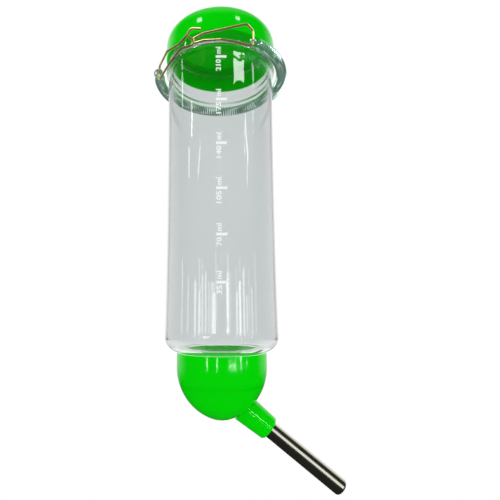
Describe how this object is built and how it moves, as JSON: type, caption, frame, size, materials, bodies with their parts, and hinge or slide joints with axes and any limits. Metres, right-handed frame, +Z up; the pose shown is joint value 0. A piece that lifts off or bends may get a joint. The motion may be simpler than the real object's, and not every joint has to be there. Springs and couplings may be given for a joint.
{
  "type": "rabbit water bottle",
  "caption": "Clear hanging water bottle with bowl-shaped end caps, a slanting steel ball-valve drinking tube and a spring hanger.",
  "frame": {"origin": "on the bottle's axis, at the level of the bead's underside where the hanger spring takes the bottle's weight", "axes": "+Z up along the bottle's axis, the drinking tube slants down towards +X, the hanger's clasp is on the -Y side"},
  "size_m": [0.0846, 0.0623, 0.2191],
  "materials": {
    "clear_plastic": "clear blown plastic",
    "green_plastic": "glossy moulded plastic",
    "silicone": "milky silicone rubber",
    "stainless_steel": "drawn and polished",
    "spring_steel": "plated spring wire",
    "nickel_wire": "plated bent wire",
    "print_ink": "white screen print"
  },
  "bodies": {
    "bottle": {"bottle_body": "clear_plastic"},
    "top_cap": {"top_cap": "green_plastic", "top_cap_seal": "silicone"},
    "cap_seal": {"spout_cap_seal": "silicone"},
    "spout": {"spout_cap": "green_plastic", "tube_bush": "silicone", "drinking_tube": "stainless_steel"},
    "tip_ball": {"tip_ball": "stainless_steel"},
    "back_ball": {"back_ball": "stainless_steel"},
    "hanger": {"hanger_spring": "spring_steel"},
    "hook": {"hook_link": "nickel_wire"},
    "eye": {"eye_link": "nickel_wire"}
  },
  "joints": [
    {"name": "top_cap_pull", "type": "slide", "parent": "bottle", "child": "top_cap", "axis": [0, 0, 1], "range_m": [0, 0.03]},
    {"name": "cap_seal_drop", "type": "slide", "parent": "bottle", "child": "cap_seal", "axis": [0, 0, -1], "range_m": [0, 0.0062]},
    {"name": "spout_cap_unscrew", "type": "hinge", "parent": "cap_seal", "child": "spout", "pos_m": [0, 0, -0.1364], "axis": [0, 0, -1], "range_deg": [0, 540]},
    {"name": "tip_ball_roll", "type": "slide", "parent": "spout", "child": "tip_ball", "axis": [-0.7826, 0, 0.6225], "range_m": [0, 0.04]},
    {"name": "back_ball_roll", "type": "slide", "parent": "spout", "child": "back_ball", "axis": [-0.7826, 0, 0.6225], "range_m": [0, 0.04]},
    {"name": "hanger_turn", "type": "hinge", "parent": "bottle", "child": "hanger", "pos_m": [0, 0, 0], "axis": [0, 0, 1], "continuous": true},
    {"name": "hook_swing", "type": "hinge", "parent": "hanger", "child": "hook", "pos_m": [-0.0289, -0.0079, -0.0015], "axis": [0, 0, -1], "range_deg": [0, 110]},
    {"name": "eye_swing", "type": "hinge", "parent": "hanger", "child": "eye", "pos_m": [0.0141, -0.0279, 0.0011], "axis": [0, 0, 1], "range_deg": [0, 110]}
  ],
  "couplings": [
    {"joint": "cap_seal_drop", "follows": "spout_cap_unscrew", "m_per_rad": 0.00063662},
    {"joint": "back_ball_roll", "follows": "tip_ball_roll", "ratio": 1},
    {"joint": "eye_swing", "follows": "hook_swing", "ratio": 1}
  ]
}
